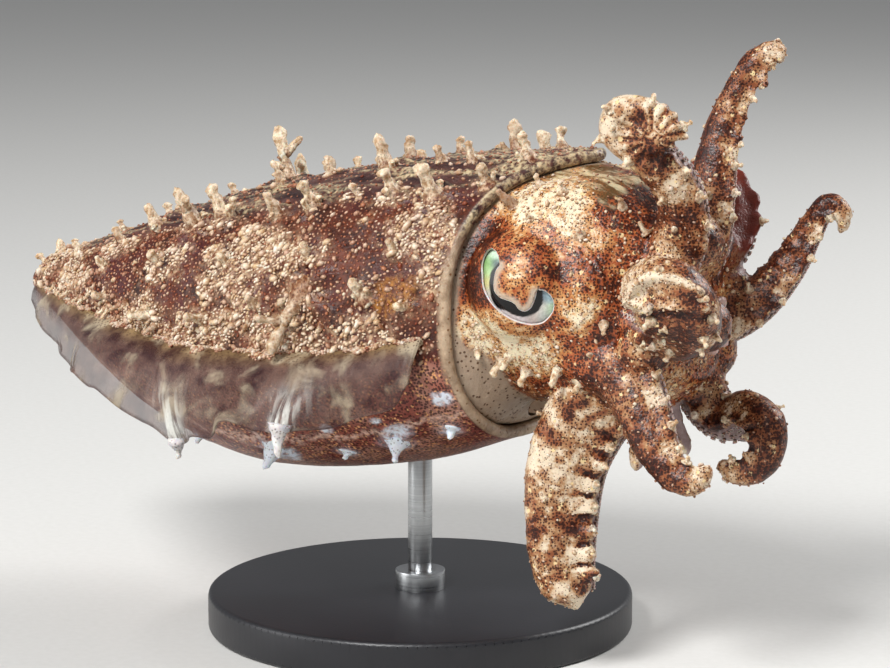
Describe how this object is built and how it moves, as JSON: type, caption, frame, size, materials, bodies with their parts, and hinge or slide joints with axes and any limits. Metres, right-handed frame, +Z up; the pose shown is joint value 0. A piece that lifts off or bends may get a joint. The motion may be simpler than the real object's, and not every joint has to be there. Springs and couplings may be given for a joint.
{
  "type": "broadclub cuttlefish display model",
  "caption": "Life-size still model of a young broadclub cuttlefish, hovering with raised and curled arms and skin papillae, held over a round base by a rod.",
  "frame": {"origin": "centre of the bounding box on the underside of the stand's base", "axes": "+X towards the animal's arms, +Y to its left, +Z up"},
  "size_m": [0.121, 0.0608, 0.0791],
  "materials": {
    "arm_skin": "satin, brown and cream mottled",
    "beak": "gloss, dark horn",
    "eye": "gloss, green and pale iris with a black W-shaped pupil",
    "fin_membrane": "satin, translucent olive grey",
    "funnel_skin": "satin, pale",
    "head_skin": "satin, cream and rust with dark brown dots",
    "mantle_skin": "satin, mottled red-brown with cream papillae",
    "mouth_skin": "satin, pale pink",
    "stand_base": "satin black",
    "stand_rod": "brushed",
    "tentacle_skin": "satin, lilac grey"
  },
  "bodies": {
    "root": {"arm_left_1_middle": "arm_skin", "arm_left_1_root": "arm_skin", "arm_left_1_tip": "arm_skin", "arm_left_2_root": "arm_skin", "arm_left_2_tip": "arm_skin", "arm_left_3_root": "arm_skin", "arm_left_3_tip": "arm_skin", "arm_left_4_root": "arm_skin", "arm_left_4_tip": "arm_skin", "arm_right_1_middle": "arm_skin", "arm_right_1_root": "arm_skin", "arm_right_1_tip": "arm_skin", "arm_right_2_root": "arm_skin", "arm_right_2_tip": "arm_skin", "arm_right_3_root": "arm_skin", "arm_right_3_tip": "arm_skin", "arm_right_4_root": "arm_skin", "arm_right_4_tip": "arm_skin", "beak": "beak", "eye_left": "eye", "eye_right": "eye", "fin_left": "fin_membrane", "fin_right": "fin_membrane", "funnel": "funnel_skin", "head": "head_skin", "mantle": "mantle_skin", "mouth_membrane": "mouth_skin", "stand_base": "stand_base", "stand_rod": "stand_rod", "tentacle_left": "tentacle_skin", "tentacle_right": "tentacle_skin"}
  },
  "joints": []
}
